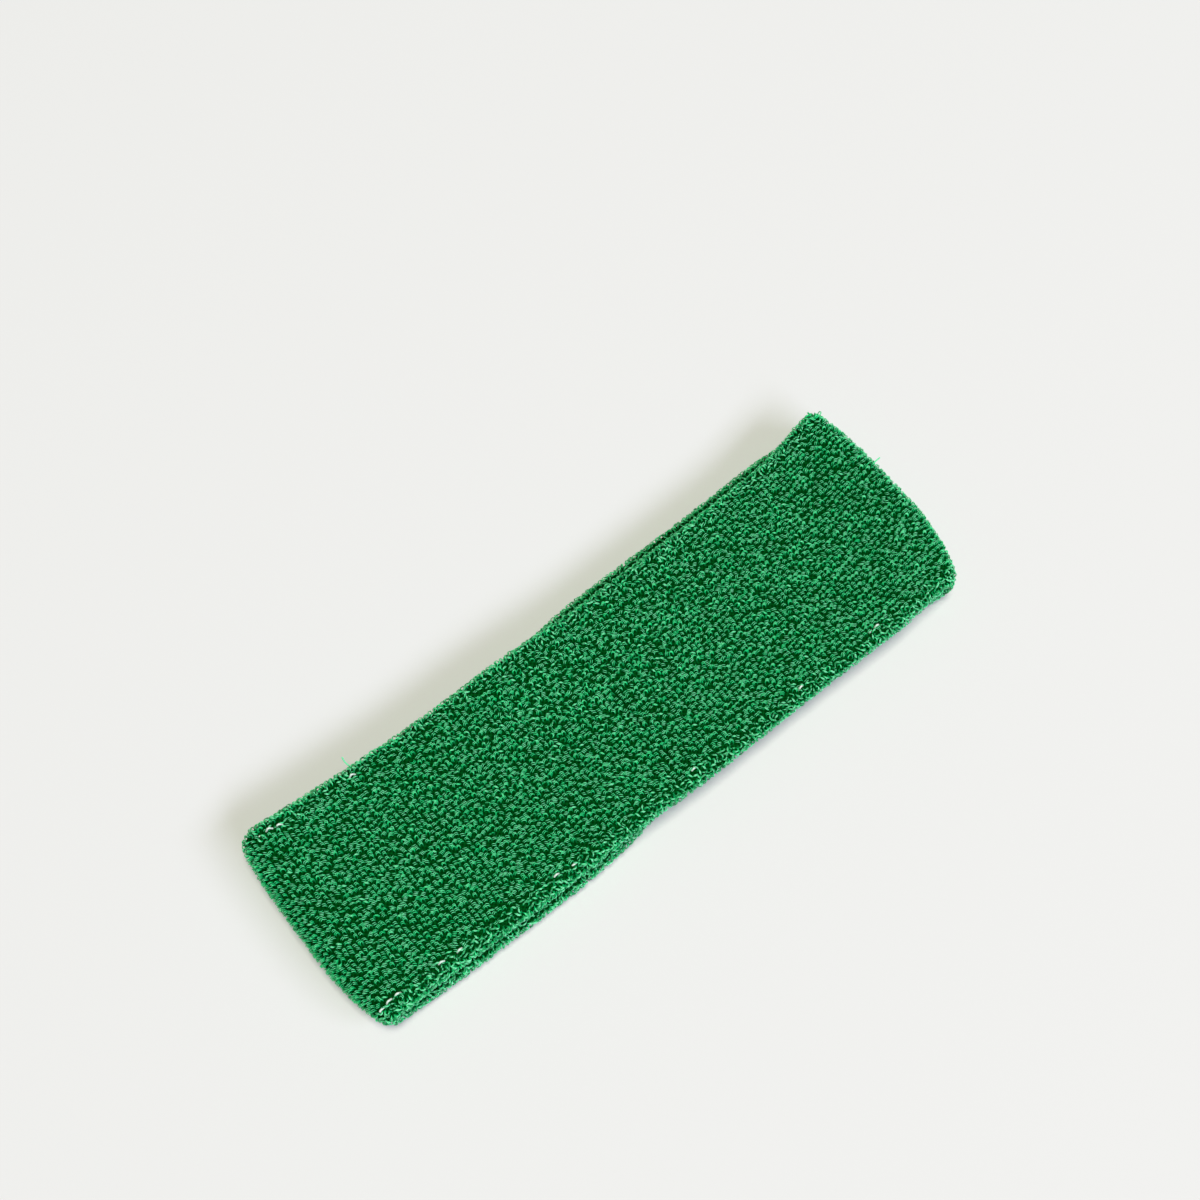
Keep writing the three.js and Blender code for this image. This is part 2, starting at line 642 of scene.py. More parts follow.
@dataclass
class Template:
    """A small shape that is set down many times: its points, their shade and its faces.

    Its shade is painted light and shade: a point is painted lighter where it stands high and on the outside
    of its yarn's bend, and darker at the root and on the inside, where other loops and plies would shade it.
    """

    points: Array
    shade: Array
    corners: Array
    starts: Array

    @classmethod
    def from_bmesh(cls, shape: bmesh.types.BMesh) -> Template:
        """Reads a finished bmesh and frees it.

        Args:
            shape: the bmesh, with an "outside" value on each vertex.

        Returns:
            The template.
        """
        shape.verts.index_update()
        layer = shape.verts.layers.float["outside"]
        points = np.array([v.co for v in shape.verts])
        outside = np.array([v[layer] for v in shape.verts])
        corners = np.array([v.index for f in shape.faces for v in f.verts])
        sizes = np.array([len(f.verts) for f in shape.faces])
        shape.free()
        height = points[:, 2] - points[:, 2].min()
        # Painted shade and highlight: dark at the root and on the inside of the bend, light high up on the
        # outside.
        shade = (0.3 + 0.7 * height / height.max()) * (0.35 + 0.7 * outside**2)
        return cls(points, shade, corners, np.concatenate([[0], np.cumsum(sizes)[:-1]]))


@dataclass(frozen=True)
class YarnArc:
    """An arc of yarn standing on the XY plane, open downwards, with its plies side by side."""

    radius: float
    angle: float
    ply_thickness: float
    plies: int = 1
    twist: float = 0.0
    spacing: float = 1.05
    sides: int = 3
    steps: int = 5

    def add(self, shape: bmesh.types.BMesh, breadth: float = 1.0, stretch: float = 1.0) -> None:
        """Adds the arc to an empty bmesh, with closed ends.

        The plies are spun together as rings set side by side along Y. The rings are then turned
        about the arc's middle line, further and further from its top, and the line is drawn out to
        an ellipse without making the plies any thicker.

        Args:
            shape: the empty bmesh.
            breadth: the ellipse's half axis along X over the radius.
            stretch: the ellipse's half axis along Z over the radius.
        """
        start = Matrix.Rotation(-self.angle / 2, 4, "Y") @ Matrix.Translation((0, 0, self.radius))
        ridge_out = Matrix.Rotation(math.pi / 2, 4, "Y") @ Matrix.Rotation(math.pi / 2, 4, "Z")
        for ply in range(self.plies):
            beside = self.spacing * self.ply_thickness * (ply - (self.plies - 1) / 2)
            bmesh.ops.create_circle(
                shape, cap_ends=False, radius=self.ply_thickness / 2, segments=self.sides,
                matrix=start @ Matrix.Translation((0, beside, 0)) @ ridge_out,
            )
        bmesh.ops.spin(
            shape, geom=shape.verts[:] + shape.edges[:], cent=(0, 0, 0), axis=(0, 1, 0), dvec=(0, 0, 0),
            angle=self.angle, steps=self.steps, use_merge=False, use_duplicate=False,
        )
        rims = [e for e in shape.edges if e.is_boundary]
        bmesh.ops.holes_fill(shape, edges=rims, sides=self.sides)
        bmesh.ops.recalc_face_normals(shape, faces=shape.faces)
        # How far out on its bend each point lies, which sets its painted shade and highlight.
        layer = shape.verts.layers.float.new("outside")
        for vert in shape.verts:
            turn = math.atan2(vert.co.x, vert.co.z)
            off = Vector((math.hypot(vert.co.x, vert.co.z) - self.radius, vert.co.y))
            vert[layer] = 0.5 + off.x / self.ply_thickness
            off.rotate(Matrix.Rotation(self.twist * turn, 2))
            line = Vector((breadth * math.sin(turn), stretch * math.cos(turn))) * self.radius
            line += Vector((stretch * math.sin(turn), breadth * math.cos(turn))).normalized() * off.x
            vert.co = (line.x, off.y, line.y)


@dataclass(frozen=True)
class LoopShape:
    """One way that a pile loop stands: a yarn bent into an open ring, stretched and turned."""

    arc: YarnArc
    breadth: float
    stretch: float
    turn: float
    sink: float = 0.3 * MM

    def make(self) -> Template:
        """Builds the loop, standing on the XY plane with its feet a little below it.

        Returns:
            The loop as a template.
        """
        shape = bmesh.new()
        self.arc.add(shape, self.breadth, self.stretch)
        template = Template.from_bmesh(shape)
        turn = self.turn * template.points[:, 2] / template.points[:, 2].max()
        x, y = template.points[:, 0].copy(), template.points[:, 1].copy()
        template.points[:, 0] = x * np.cos(turn) - y * np.sin(turn)
        template.points[:, 1] = x * np.sin(turn) + y * np.cos(turn)
        template.points[:, 2] -= template.points[:, 2].min() + self.sink
        return template


@dataclass
class Places:
    """Where shapes are set down: an origin and three axes each, and how each one stands."""

    origin: Array
    along: Array
    across: Array
    out: Array
    yaw: Array
    lean: Array
    size: Array
    tone: Array

    def __len__(self) -> int:
        """How many places there are."""
        return len(self.origin)

    def only(self, chosen: Array) -> Places:
        """The places that a mask or a list of indices picks."""
        return Places(*(getattr(self, name)[chosen] for name in self.__dataclass_fields__))


def set_down(template: Template, places: Places) -> tuple[Array, Array]:
    """Sets a template down at every place.

    Args:
        template: the shape.
        places: where it goes.

    Returns:
        The points, place by place, and for each point its loop's tone times the template's painted shade.
    """
    p = template.points[None] * places.size[:, None, :]
    lean_c, lean_s = np.cos(places.lean)[:, None], np.sin(places.lean)[:, None]
    x, y, z = p[..., 0], p[..., 1] * lean_c + p[..., 2] * lean_s, p[..., 2] * lean_c - p[..., 1] * lean_s
    yaw_c, yaw_s = np.cos(places.yaw)[:, None], np.sin(places.yaw)[:, None]
    x, y = x * yaw_c - y * yaw_s, x * yaw_s + y * yaw_c
    points = (
        places.origin[:, None]
        + x[..., None] * places.along[:, None]
        + y[..., None] * places.across[:, None]
        + z[..., None] * places.out[:, None]
    )
    tone = np.clip(places.tone[:, None] * template.shade[None], 0, 1)
    return points, tone


def scattered(
    name: str, material: bpy.types.Material, batches: Iterable[tuple[Template, Places]]
) -> bpy.types.Object:
    """Joins many set-down templates into one smooth-shaded piece with a tone and painted shade for every
    point.

    Args:
        name: the piece's name.
        material: its material.
        batches: templates, each with its places.

    Returns:
        The piece.
    """
    points, tones_and_shades, corners, starts = [], [], [], []
    first_point = first_corner = 0
    for template, places in batches:
        if not len(places):
            continue
        p, tone = set_down(template, places)
        count, per = len(places), len(template.points)
        index = np.arange(count)[:, None]
        corners.append((template.corners[None] + index * per + first_point).ravel())
        starts.append((template.starts[None] + index * len(template.corners) + first_corner).ravel())
        points.append(p.reshape(-1, 3))
        tones_and_shades.append(tone.ravel())
        first_point += count * per
        first_corner += count * len(template.corners)
    all_points = np.concatenate(points)
    all_points[:, 2] = np.maximum(all_points[:, 2], TABLE_CLEARANCE)
    all_corners, all_starts = np.concatenate(corners), np.concatenate(starts)
    mesh = bpy.data.meshes.new(name)
    mesh.vertices.add(len(all_points))
    mesh.vertices.foreach_set("co", all_points.astype(np.float32).ravel())
    mesh.loops.add(len(all_corners))
    mesh.loops.foreach_set("vertex_index", all_corners.astype(np.int32))
    mesh.polygons.add(len(all_starts))
    mesh.polygons.foreach_set("loop_start", all_starts.astype(np.int32))
    mesh.attributes.new("tone", "FLOAT", "POINT").data.foreach_set(
        "value", np.concatenate(tones_and_shades).astype(np.float32)
    )
    mesh.update(calc_edges=True)
    mesh.validate()
    mesh.shade_smooth()
    return object_from_mesh(name, mesh, material)


def yarn_along(name: str, path: Array, thickness: float, material: bpy.types.Material) -> bpy.types.Object:
    """Makes a round yarn with closed ends along a path of points.

    Args:
        name: the piece's name.
        path: one row of x, y and z for each point of the yarn's middle line.
        thickness: the yarn's diameter.
        material: its material.

    Returns:
        The piece, with one even tone.
    """
    curve = bpy.data.curves.new(name, "CURVE")
    curve.dimensions = "3D"
    curve.bevel_depth = thickness / 2
    curve.bevel_resolution = 1
    curve.use_fill_caps = True
    spline = curve.splines.new("POLY")
    spline.points.add(len(path) - 1)
    spline.points.foreach_set("co", np.c_[path, np.ones(len(path))].astype(np.float32).ravel())
    holder = bpy.data.objects.new(name, curve)
    mesh = bpy.data.meshes.new_from_object(holder)
    bpy.data.objects.remove(holder)
    bpy.data.curves.remove(curve)
    mesh.name = name
    mesh.attributes.new("tone", "FLOAT", "POINT").data.foreach_set(
        "value", np.full(len(mesh.vertices), 0.75, np.float32)
    )
    mesh.shade_smooth()
    return object_from_mesh(name, mesh, material)


# ---------------------------------------------------------------- the sub-assemblies


@dataclass(frozen=True)
class GroundKnit:
    """The knitted ground of one quarter: both plies and both rolled edges in one piece."""

    quarter: Quarter
    material: bpy.types.Material
    thickness: float = 0.5 * MM
    mesh_size: float = 2.0 * MM

    def build(self) -> bpy.types.Object:
        """Rolls a flat grid of knit into the quarter's ply tube and gives it its thickness.

        Returns:
            The piece.
        """
        form, quarter = self.quarter.form, self.quarter
        steps_along = round(form.last_station / self.mesh_size)
        steps_round = round(2 * form.tube_half / self.mesh_size)
        shape = bmesh.new()
        uv = shape.loops.layers.uv.new("knit")
        bmesh.ops.create_grid(shape, x_segments=steps_along, y_segments=steps_round, size=0.5)
        for face in shape.faces:
            for corner in face.loops:
                x, y, _ = corner.vert.co
                corner[uv].uv = ((x + 0.5) * form.last_station, y * 2 * form.tube_half)
        flat = np.array([v.co for v in shape.verts])
        station = (flat[:, 0] + 0.5) * form.last_station
        rolled = form.at(station, flat[:, 1] * 2 * form.tube_half, 0.0, quarter.panel, quarter.end)
        for vert, point in zip(shape.verts, rolled):
            vert.co = point
        bmesh.ops.remove_doubles(shape, verts=shape.verts, dist=0.01 * MM)
        if quarter.panel.value * quarter.end.value < 0:
            bmesh.ops.reverse_faces(shape, faces=shape.faces)
        bmesh.ops.solidify(shape, geom=shape.faces[:], thickness=self.thickness)
        piece = object_from_bmesh(f"knit_ground_{quarter.word}", shape, self.material)
        quarter.carry(piece, "terry_outer", "outer_layer", "lining_flap_crown", "lining_flap_brow")
        return piece


@dataclass(frozen=True)
class Pile:
    """The pile of one quarter: rows of loops that the sinkers draw out of the ground knit."""

    quarter: Quarter
    face: Face
    flat_loops: tuple[LoopShape, ...]
    rim_loops: tuple[LoopShape, ...]
    material: bpy.types.Material
    pitch_along: float
    pitch_across: float
    bands: tuple[str, ...]
    nap: float = math.radians(16)
    nap_spread: float = math.radians(16)
    edge_spread: float = math.radians(30)
    slant: float = math.radians(-27)
    untidy_slant: float = math.radians(30)
    edge_slant: float = math.radians(40)
    untidy_reach: float = 52 * MM
    open_share: float = 0.22

    def stations(self, depth: float) -> Array:
        """Spreads the loops of a row along the quarter, evenly along the yarn's own path.

        Args:
            depth: how far the row lies outwards from the middle of the wall.

        Returns:
            The loops' stations.
        """
        form = self.quarter.form
        wales = round(form.turn_centre / self.pitch_along)
        straight = (np.arange(wales) + 0.5) / wales * form.turn_centre
        radius = max(form.turn_radius + depth, 1.2 * MM)
        count = max(int(radius * math.pi / 2 / self.pitch_along), 1)
        turned = (np.arange(count) + 0.5) / count * form.turn_radius * math.pi / 2
        return np.concatenate([straight, form.turn_centre + turned])

    def rows(self) -> Array:
        """Sets out the rows of loops round the ply tube, closer round the rolled edges.

        Returns:
            The rows' places round the tube.
        """
        form = self.quarter.form
        edge = form.flat_half + math.pi * form.rim * 0.75
        if self.face is Face.LINING:
            inside = 2 * form.tube_half - 2 * edge
            count = round(inside / self.pitch_across)
            return edge + (np.arange(count) + 0.5) / count * inside
        count = round(2 * form.flat_half / self.pitch_across)
        flat = -form.flat_half + (np.arange(count) + 0.5) / count * 2 * form.flat_half
        close = np.arange(form.flat_half + 0.4 * self.pitch_across, edge, 0.75 * self.pitch_across)
        return np.concatenate([-close[::-1], flat, close])

    def places(self, rng: np.random.Generator) -> tuple[Places, Array]:
        """Sets out every loop of the quarter.

        Args:
            rng: the quarter's own random draws.

        Returns:
            The places, and how likely each one is to stand open, as at a rolled edge.
        """
        form, quarter = self.quarter.form, self.quarter
        stations, rounds = [], []
        for row in self.rows():
            place = row if row <= form.tube_half else row - 2 * form.tube_half
            depth = form.section(np.array([place]))[1][0]
            along = self.stations(depth)
            stations.append(along)
            rounds.append(np.full(len(along), place))
        station, place = np.concatenate(stations), np.concatenate(rounds)
        station, place = self.disturb(station, place, rng)
        station = np.clip(station, 0.05 * MM, form.last_station - 0.05 * MM)
        origin, along, across, out = form.axes(station, place, quarter.panel, quarter.end)
        edge = smoothstep(np.abs(place), form.flat_half - 3.0 * MM, form.flat_half + 1.0 * MM)
        edge *= 1 - smoothstep(np.abs(place), form.flat_half + math.pi * form.rim, form.tube_half)
        upper = smoothstep(origin[:, 1], -20 * MM, 4 * MM)
        untidy = 0.3 + 0.7 * np.exp(-((origin[:, 0] / self.untidy_reach) ** 2)) * upper
        lay = self.lay(origin, rng)
        flat_lean = lay * self.nap + (0.5 + untidy) * rng.normal(0, self.nap_spread, len(station))
        edge_lean = rng.normal(0, self.edge_spread, len(station))
        yaw = self.slant + untidy * rng.normal(0, self.untidy_slant, len(station))
        yaw += edge * rng.normal(0, self.edge_slant, len(station))
        size = rng.normal(1.0, 0.07, (len(station), 3))
        tone = np.clip(rng.normal(0.94, 0.09, len(station)) + 0.08 * edge, 0.2, 1.2)
        lean = flat_lean * (1 - edge) + edge_lean * edge
        open_chance = np.maximum(edge, self.open_share * untidy)
        return Places(origin, along, across, out, yaw, lean, size, tone), open_chance

    def disturb(self, station: Array, place: Array, rng: np.random.Generator) -> tuple[Array, Array]:
        """Moves the loops a little off their rows and wales: in soft waves, and each on its own.

        Args:
            station: the loops' even stations.
            place: the loops' even places round the ply tube.
            rng: the quarter's own random draws.

        Returns:
            The moved stations and places.
        """
        across = np.sin(station / (3.1 * MM) + place / (5.3 * MM))
        across = across + np.sin(station / (5.7 * MM) - place / (3.9 * MM))
        along = np.sin(station / (6.1 * MM) + place / (2.9 * MM) + 1.0) + np.sin(place / (4.7 * MM) - 0.6)
        last = self.quarter.form.last_station
        along *= smoothstep(station, 0.0, 4 * MM) * (1 - smoothstep(station, last - 4 * MM, last))
        place = place + self.pitch_across * (0.13 * across + rng.normal(0, 0.15, len(place)))
        station = station + self.pitch_along * (0.12 * along + rng.normal(0, 0.13, len(station)))
        return station, place

    def lay(self, origin: Array, rng: np.random.Generator) -> Array:
        """Finds which way each loop lies: nearly all towards the crown, with patches brushed back.

        Args:
            origin: where the loops stand.
            rng: the quarter's own random draws.

        Returns:
            1 for a loop that leans one way and -1 for one that leans the other.
        """
        x, y = origin[:, 0], origin[:, 1]
        patches = np.sin(x / (6 * MM) + 2.1 * np.sin(y / (7 * MM))) * np.sin(y / (5 * MM) + x / (11 * MM))
        back = rng.uniform(0, 1, len(x)) < 0.12 + 0.35 * smoothstep(patches, 0.45, 0.9)
        towards_crown = 1.0 if self.face is Face.OUTER else -1.0
        return np.where(back, -1.0, 1.0) * towards_crown

    def build(self) -> list[bpy.types.Object]:
        """Builds the pile as pieces side by side across the band.

        Returns:
            The pieces.
        """
        rng = np.random.default_rng(self.quarter.seed * 2 + (self.face is Face.LINING))
        places, edge = self.places(rng)
        templates = [loop.make() for loop in self.flat_loops + self.rim_loops]
        flat, rim = len(self.flat_loops), len(self.rim_loops)
        kinds = rng.integers(0, flat, len(places))
        if rim:
            opened = rng.uniform(0, 1, len(places)) < edge
            kinds = np.where(opened, rng.integers(flat, flat + rim, len(places)), kinds)
        across = places.origin[:, 1]
        limits = np.quantile(across, np.linspace(0, 1, len(self.bands) + 1))
        limits[-1] += MM
        pieces = []
        for name, low, high in zip(self.bands, limits, limits[1:]):
            inside = (across >= low) & (across < high)
            batches = [(t, places.only(inside & (kinds == k))) for k, t in enumerate(templates)]
            piece = scattered(f"pile_{self.face.value}_{self.quarter.word}{name}", self.material, batches)
            slot = "terry_outer" if self.face is Face.OUTER else "terry_lining"
            pieces.append(self.quarter.carry(piece, slot))
        return pieces


@dataclass(frozen=True)
class ElasticYarns:
    """The covered rubber yarns of one quarter, laid in along the courses between the plies."""

    quarter: Quarter
    material: bpy.types.Material
    thickness: float = 0.5 * MM
    step: float = 0.4 * MM
    float_length: float = 2.6 * MM

    def build(self) -> list[bpy.types.Object]:
        """Builds each yarn where its CAD node lies. The outermost two come up among the pile.

        Returns:
            One piece for each yarn.
        """
        quarter, form = self.quarter, self.quarter.form
        rng = np.random.default_rng(quarter.seed + 400)
        stem = "elastic_yarn_"
        count = sum(n.startswith(stem) and n.endswith("_front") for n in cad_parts)
        pieces = []
        for number in range(1, count + 1):
            low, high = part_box(f"{stem}{number}_{quarter.panel.word}")
            across = (low[1] + high[1]) / 2
            station = np.arange(0, form.last_station + self.step, self.step)
            station = np.minimum(station, form.last_station)
            at_edge = number in (1, count)
            place = np.full(len(station), across)
            if at_edge:
                place = np.full(len(station), math.copysign(form.flat_half - 0.6 * MM, across))
                place += 0.3 * MM * np.sin(station / (7 * MM)) + 0.3 * MM * np.sin(station / (1.9 * MM))
            lift = self.lifts(station, across, rng) if at_edge else np.full(len(station), -form.ply)
            path = form.at(station, place, lift, quarter.panel, quarter.end)
            name = f"{stem}{number}_{quarter.word}"
            piece = yarn_along(name, path, self.thickness, self.material)
            pieces.append(quarter.carry(piece, "covered_rubber", f"{stem}{number}"))
        return pieces

    def lifts(self, station: Array, side: float, rng: np.random.Generator) -> Array:
        """How high an edge yarn lies: in the ground, and up between the loops where it has worked out.

        It comes up once in every two wales, since it is laid in over one needle and under the next.
        Not every crest shows, and those that do come up by different heights.

        Args:
            station: the yarn's stations.
            side: which side of the middle the yarn runs on, by its sign.
            rng: the quarter's own random draws.

        Returns:
            The yarn's lift off the ground knit at each station.
        """
        x = station * self.quarter.end.value
        showing = np.zeros(len(station))
        for centre, half in WORKED_OUT.get((self.quarter.panel, side > 0), ()):
            showing = np.maximum(showing, np.exp(-(((x - centre) / half) ** 4)))
        crest = np.round(station / self.float_length).astype(int)
        height = rng.choice([0.1, 0.75, 1.1], crest.max() + 1, p=[0.55, 0.2, 0.25])[crest]
        wave = (0.5 + 0.5 * np.cos(math.tau * station / self.float_length)) ** 1.5
        return -0.5 * MM + 1.8 * MM * showing * wave * height


# Where the outermost elastic yarns have worked up between the loops, as middles and half lengths, by
# panel and by whether it is the yarn on the crown side.
WORKED_OUT: dict[tuple[Panel, bool], tuple[tuple[float, float], ...]] = {
    (Panel.FRONT, False): (
        (-88 * MM, 4 * MM), (-67 * MM, 8 * MM), (-37 * MM, 3 * MM), (4 * MM, 2 * MM),
        (20 * MM, 2 * MM), (34 * MM, 4 * MM), (62 * MM, 2 * MM),
    ),
    (Panel.FRONT, True): ((-86 * MM, 5 * MM), (-62 * MM, 2 * MM)),
    (Panel.BACK, False): ((-86 * MM, 2 * MM), (-58 * MM, 5 * MM)),
    (Panel.BACK, True): ((30 * MM, 3 * MM),),
}


@dataclass(frozen=True)
class LinkingSeam:
    """The chain of linking thread that joins the two free edges along the middle of the lining."""

    quarter: Quarter
    material: bpy.types.Material
    stitch: float = 2.2 * MM
    thread: float = 0.4 * MM

    def build(self) -> bpy.types.Object:
        """Builds one row of flat chain stitches, each laid into the next.

        Returns:
            The piece.
        """
        quarter, form = self.quarter, self.quarter.form
        shape = bmesh.new()
        radius = self.stitch * 0.62
        YarnArc(radius, math.radians(330), self.thread, sides=5, steps=10).add(shape)
        for axis in ("X", "Z"):
            quarter_turn = Matrix.Rotation(math.pi / 2, 3, axis)
            bmesh.ops.rotate(shape, cent=(0, 0, 0), matrix=quarter_turn, verts=shape.verts)
        bmesh.ops.scale(shape, vec=(1.0, 0.62, 1.0), verts=shape.verts)
        bmesh.ops.translate(shape, vec=(0, 0, 0.25 * MM), verts=shape.verts)
        template = Template.from_bmesh(shape)
        station = np.arange(self.stitch / 2, form.last_station, self.stitch)
        place = np.full(len(station), form.tube_half)
        origin, along, across, out = form.axes(station, place, quarter.panel, quarter.end)
        count = len(station)
        rng = np.random.default_rng(quarter.seed + 800)
        places = Places(
            origin, along, across, out,
            yaw=rng.normal(0, 0.06, count), lean=np.full(count, 0.0),
            size=rng.normal(1, 0.04, (count, 3)), tone=np.full(count, 0.8),
        )
        piece = scattered(f"linking_seam_{quarter.word}", self.material, [(template, places)])
        return quarter.carry(piece, "linking_thread", "linking_seam")


@dataclass(frozen=True)
class CornerCurls:
    """A few longer loops that spring out at one corner of the band."""

    quarter: Quarter
    count: int
    loops: tuple[LoopShape, ...]
    material: bpy.types.Material

    def build(self) -> bpy.types.Object:
        """Builds the curls round the crown corner of the quarter's folded end.

        Returns:
            The piece.
        """
        form, quarter = self.quarter.form, self.quarter
        rng = np.random.default_rng(quarter.seed + 1200)
        station = rng.uniform(form.turn_centre - 1.5 * MM, form.last_station - 3 * MM, self.count)
        place = form.flat_half + rng.uniform(-0.5, 2.2, self.count) * MM
        origin, along, across, out = form.axes(station, place, quarter.panel, quarter.end)
        places = Places(
            origin, along, across, out,
            yaw=rng.uniform(-1.2, 1.2, self.count), lean=rng.normal(0, 0.5, self.count),
            size=rng.normal(1, 0.08, (self.count, 3)), tone=rng.normal(0.8, 0.1, self.count),
        )
        kinds = rng.integers(0, len(self.loops), self.count)
        batches = [(loop.make(), places.only(kinds == k)) for k, loop in enumerate(self.loops)]
        piece = scattered(f"corner_curls_{quarter.word}", self.material, batches)
        return quarter.carry(piece, "terry_outer")


@dataclass(frozen=True)
class LooseEnd:
    """A cut end of yarn that has worked out of the knit, a few millimetres long."""

    name: str
    quarter: Quarter
    station: float
    place: float
    slope: float
    length: float
    material: bpy.types.Material
    thickness: float = 0.36 * MM

    def build(self) -> bpy.types.Object:
        """Builds the yarn end, which curls as it rises out of the pile.

        Returns:
            The piece.
        """
        form, quarter = self.quarter.form, self.quarter
        spot = (np.array([self.station]), np.array([self.place]))
        origin, along, across, out = (a[0] for a in form.axes(*spot, quarter.panel, quarter.end))
        away = math.cos(self.slope) * along + math.sin(self.slope) * out
        t = np.linspace(0, 1, 9)[:, None]
        path = origin + self.length * (t * away + 0.12 * np.sin(3 * t) * np.cross(away, across))
        piece = yarn_along(self.name, path, self.thickness, self.material)
        return quarter.carry(piece, "terry_outer")


# Loops of two or three plies, a little apart, on the flat of the outside. They differ in openness.
FLAT_LOOPS = (
    LoopShape(
        YarnArc(0.45 * MM, math.radians(240), 0.23 * MM, plies=2, twist=0.3, spacing=1.9),
        breadth=1.0, stretch=1.7, turn=0.2,
    ),
    LoopShape(
        YarnArc(0.50 * MM, math.radians(230), 0.21 * MM, plies=3, twist=-0.3, spacing=1.8),
        breadth=1.0, stretch=1.45, turn=-0.3,
    ),
    LoopShape(
        YarnArc(0.42 * MM, math.radians(245), 0.25 * MM, plies=2, twist=0.5, spacing=1.7),
        breadth=1.0, stretch=1.85, turn=0.4,
    ),
    LoopShape(
        YarnArc(0.54 * MM, math.radians(220), 0.22 * MM, plies=2, twist=0.3, spacing=2.0),
        breadth=1.0, stretch=1.3, turn=0.1,
    ),
)
# Loops that stand out round the rolled edges, where they open into rings.
RIM_LOOPS = (
    LoopShape(
        YarnArc(0.56 * MM, math.radians(285), 0.23 * MM, plies=2, twist=0.8, steps=7),
        breadth=1.1, stretch=1.05, turn=0.3, sink=0.4 * MM,
    ),
    LoopShape(
        YarnArc(0.50 * MM, math.radians(270), 0.24 * MM, plies=2, twist=-1.0, steps=7),
        breadth=1.1, stretch=1.15, turn=-0.5, sink=0.4 * MM,
    ),
    LoopShape(
        YarnArc(0.66 * MM, math.radians(290), 0.22 * MM, plies=2, twist=1.3, steps=7),
        breadth=1.0, stretch=0.95, turn=0.7, sink=0.4 * MM,
    ),
)
# Longer loops that spring out where the rolled edge goes round a corner.
CORNER_LOOPS = (
    LoopShape(
        YarnArc(0.85 * MM, math.radians(300), 0.26 * MM, plies=2, twist=0.8, steps=10),
        breadth=1.0, stretch=1.1, turn=0.4, sink=0.4 * MM,
    ),
    LoopShape(
        YarnArc(0.72 * MM, math.radians(290), 0.27 * MM, plies=2, twist=-0.9, steps=10),
        breadth=1.1, stretch=1.0, turn=-0.6, sink=0.4 * MM,
    ),
)
# Loops of a single fatter strand for the lining, which is hardly seen.
LINING_LOOPS = (
    LoopShape(YarnArc(0.66 * MM, math.radians(240), 0.5 * MM), breadth=1.0, stretch=1.15, turn=0.25),
    LoopShape(YarnArc(0.74 * MM, math.radians(220), 0.5 * MM), breadth=1.0, stretch=1.0, turn=-0.3),
)


@dataclass(frozen=True)
class Headband:
    """The whole band, built quarter by quarter."""

    form: BandForm

    def quarters(self) -> list[Quarter]:
        """The four quarters, front ones first."""
        return [Quarter(self.form, panel, end) for panel in Panel for end in End]

    def build(self) -> list[bpy.types.Object]:
        """Builds every piece of the band and reports each one.

        Returns:
            The pieces.
        """
        pile, lining, ground, rubber, thread = (
            finish.make() for finish in (PILE_YARN, LINING_YARN, GROUND_KNIT, COVERED_RUBBER, LINKING_THREAD)
        )
        pieces = []
        for quarter in self.quarters():
            pieces.append(GroundKnit(quarter, ground).build())
            pieces += Pile(
                quarter, Face.OUTER, FLAT_LOOPS, RIM_LOOPS, pile,
                pitch_along=1.30 * MM, pitch_across=1.28 * MM, bands=("_brow", "_middle", "_crown"),
            ).build()
            pieces += Pile(
                quarter, Face.LINING, LINING_LOOPS, (), lining,
                pitch_along=1.7 * MM, pitch_across=1.6 * MM, bands=("",),
            ).build()
            pieces += ElasticYarns(quarter, rubber).build()
            pieces.append(LinkingSeam(quarter, thread).build())
        left, right = (Quarter(self.form, Panel.FRONT, end) for end in End)
        pieces.append(CornerCurls(right, 9, CORNER_LOOPS, pile).build())
        crown = self.form.flat_half + 2.6 * MM
        ends = (
            LooseEnd("yarn_end_crown", left, 61 * MM, crown, math.radians(100), 3.6 * MM, pile),
            LooseEnd("yarn_end_tip", right, self.form.turn_centre + 5 * MM, 8 * MM, 1.2, 2.6 * MM, pile),
        )
        pieces += [end.build() for end in ends]
        for piece in pieces:
            LOG.info("%s: %d faces", piece.name, len(piece.data.polygons))
        return pieces


# ---------------------------------------------------------------- the studio


@dataclass(frozen=True)
class SoftBox:
    """A rectangular soft light. Its share is the radiance that it alone gives a white table."""

    name: str
    azimuth: float
    elevation: float
    half_width: float
    half_height: float
    share: float
    colour: str


# A wide cool strip low on the brow side casts the soft shadow. A warmer box overhead fills it.
SOFT_BOXES = (
    SoftBox("key_strip", 18.0, 41.0, 25.0, 8.0, 0.44, "#E7E7FF"),
    SoftBox("overhead_box", 0.0, 86.0, 9.0, 9.0, 0.72, "#FFFFF0"),
)


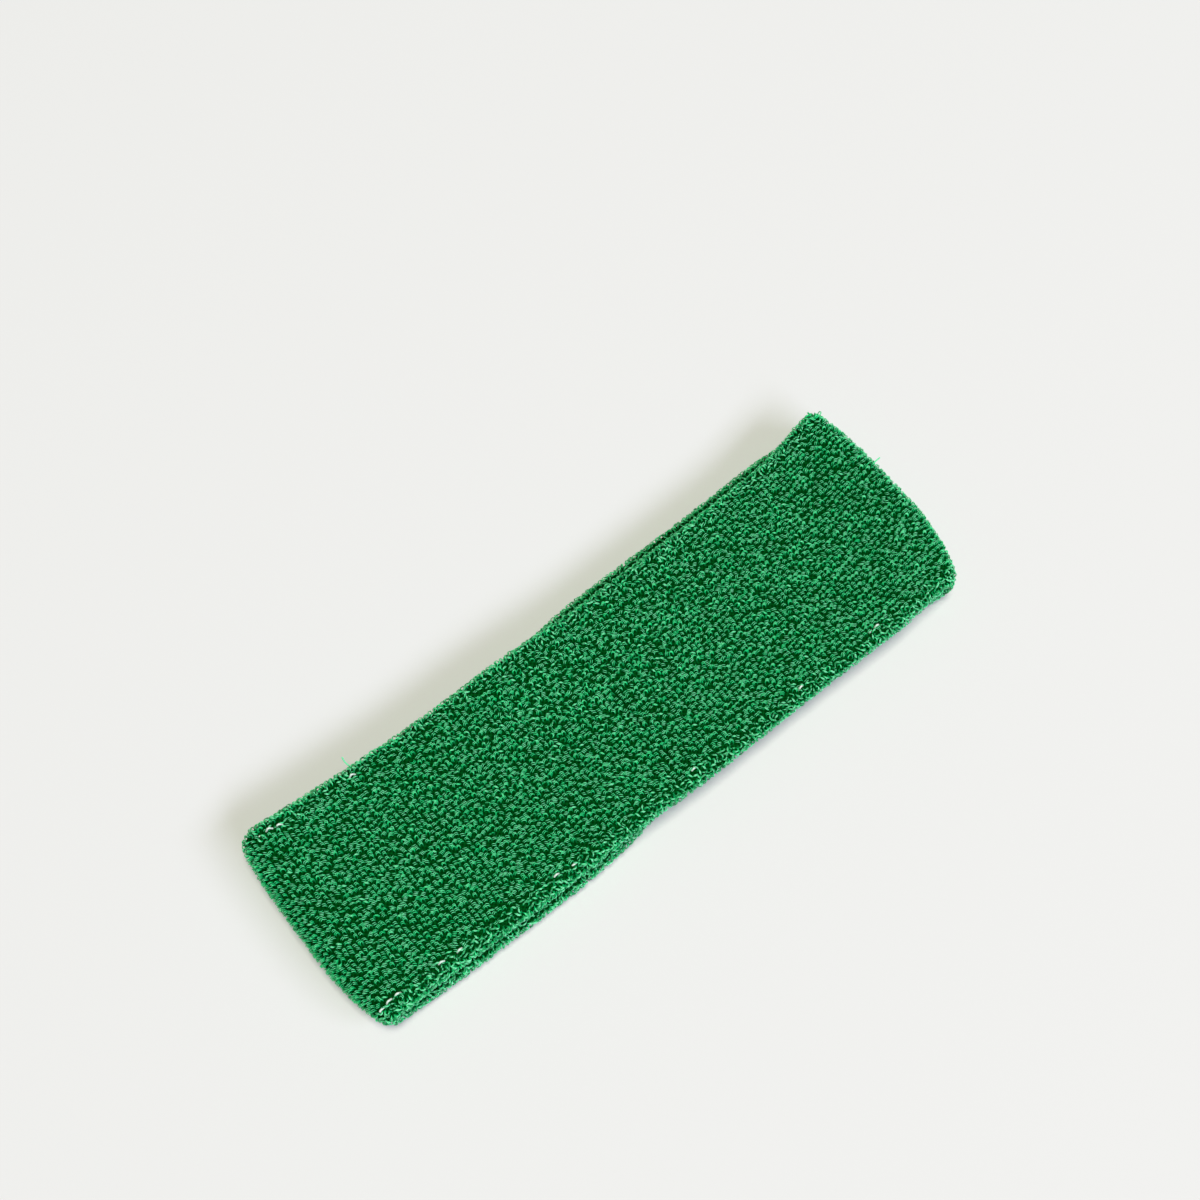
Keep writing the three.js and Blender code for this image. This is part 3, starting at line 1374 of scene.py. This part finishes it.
@dataclass(frozen=True)
class Studio:
    """The table, the light and the camera."""

    table_size: float = 14.0
    light_distance: float = 8.0
    sky: float = 0.08
    azimuth: float = -38.7
    elevation: float = 68.0
    distance: float = 415 * MM
    aim: tuple[float, float, float] = (15.9 * MM, 26.7 * MM, 0.0)
    lens: float = 48.0

    def direction(self, azimuth: float, elevation: float) -> Vector:
        """The unit vector from the middle of the scene towards an azimuth and elevation."""
        a, e = math.radians(azimuth), math.radians(elevation)
        return Vector((math.sin(a) * math.cos(e), -math.cos(a) * math.cos(e), math.sin(e)))

    def look(self, holder: bpy.types.Object, towards: Vector) -> None:
        """Turns a camera or a light to look at a point, upright."""
        way = Vector(towards) - holder.location
        holder.rotation_euler = way.to_track_quat("-Z", "Y").to_euler()

    def build_table(self) -> None:
        """Lays the table top just under the band."""
        shape = bmesh.new()
        bmesh.ops.create_grid(shape, x_segments=1, y_segments=1, size=self.table_size / 2)
        table = object_from_bmesh("table_top", shape, TABLE_TOP.make())

    def build_camera(self) -> None:
        """Sets the camera on the band."""
        camera = bpy.data.objects.new("camera", bpy.data.cameras.new("camera"))
        camera.data.lens = self.lens
        camera.data.sensor_width = 36.0
        camera.data.clip_start = 0.01
        camera.location = Vector(self.aim) + self.distance * self.direction(self.azimuth, self.elevation)
        self.look(camera, Vector(self.aim))
        bpy.context.scene.collection.objects.link(camera)
        bpy.context.scene.camera = camera

    def hang(self, light: SoftBox) -> None:
        """Hangs one soft box so that it faces the middle of the band.

        Args:
            light: the soft box.
        """
        lamp = bpy.data.lights.new(light.name, "AREA")
        lamp.shape = "RECTANGLE"
        lamp.size = 2 * self.light_distance * math.tan(math.radians(light.half_width))
        lamp.size_y = 2 * self.light_distance * math.tan(math.radians(light.half_height))
        falls = math.sin(math.radians(light.elevation)) / (math.pi * self.light_distance) ** 2
        lamp.energy = light.share / falls
        lamp.color = linear(light.colour)[:3]
        holder = bpy.data.objects.new(light.name, lamp)
        holder.location = self.light_distance * self.direction(light.azimuth, light.elevation)
        self.look(holder, Vector((0, 0, 0)))
        bpy.context.scene.collection.objects.link(holder)

    def build_lights(self) -> None:
        """Hangs the soft boxes and lets a faint even sky fill the deepest shade."""
        for light in SOFT_BOXES:
            self.hang(light)
        world = bpy.data.worlds.new("studio_sky")
        world.use_nodes = True
        background = world.node_tree.nodes["Background"]
        background.inputs["Color"].default_value = linear("#FFFFF0")
        background.inputs["Strength"].default_value = self.sky
        bpy.context.scene.world = world

    def build(self) -> None:
        """Builds the studio and shows colours as they are."""
        self.build_table()
        self.build_camera()
        self.build_lights()
        bpy.context.scene.view_settings.view_transform = "Standard"


def main() -> None:
    """Builds the studio and the band."""
    logging.basicConfig(level=logging.INFO, format="%(name)s %(message)s")
    Studio().build()
    form = BandForm.from_frame()
    Headband(form).build()


if __name__ == "__main__":
    main()
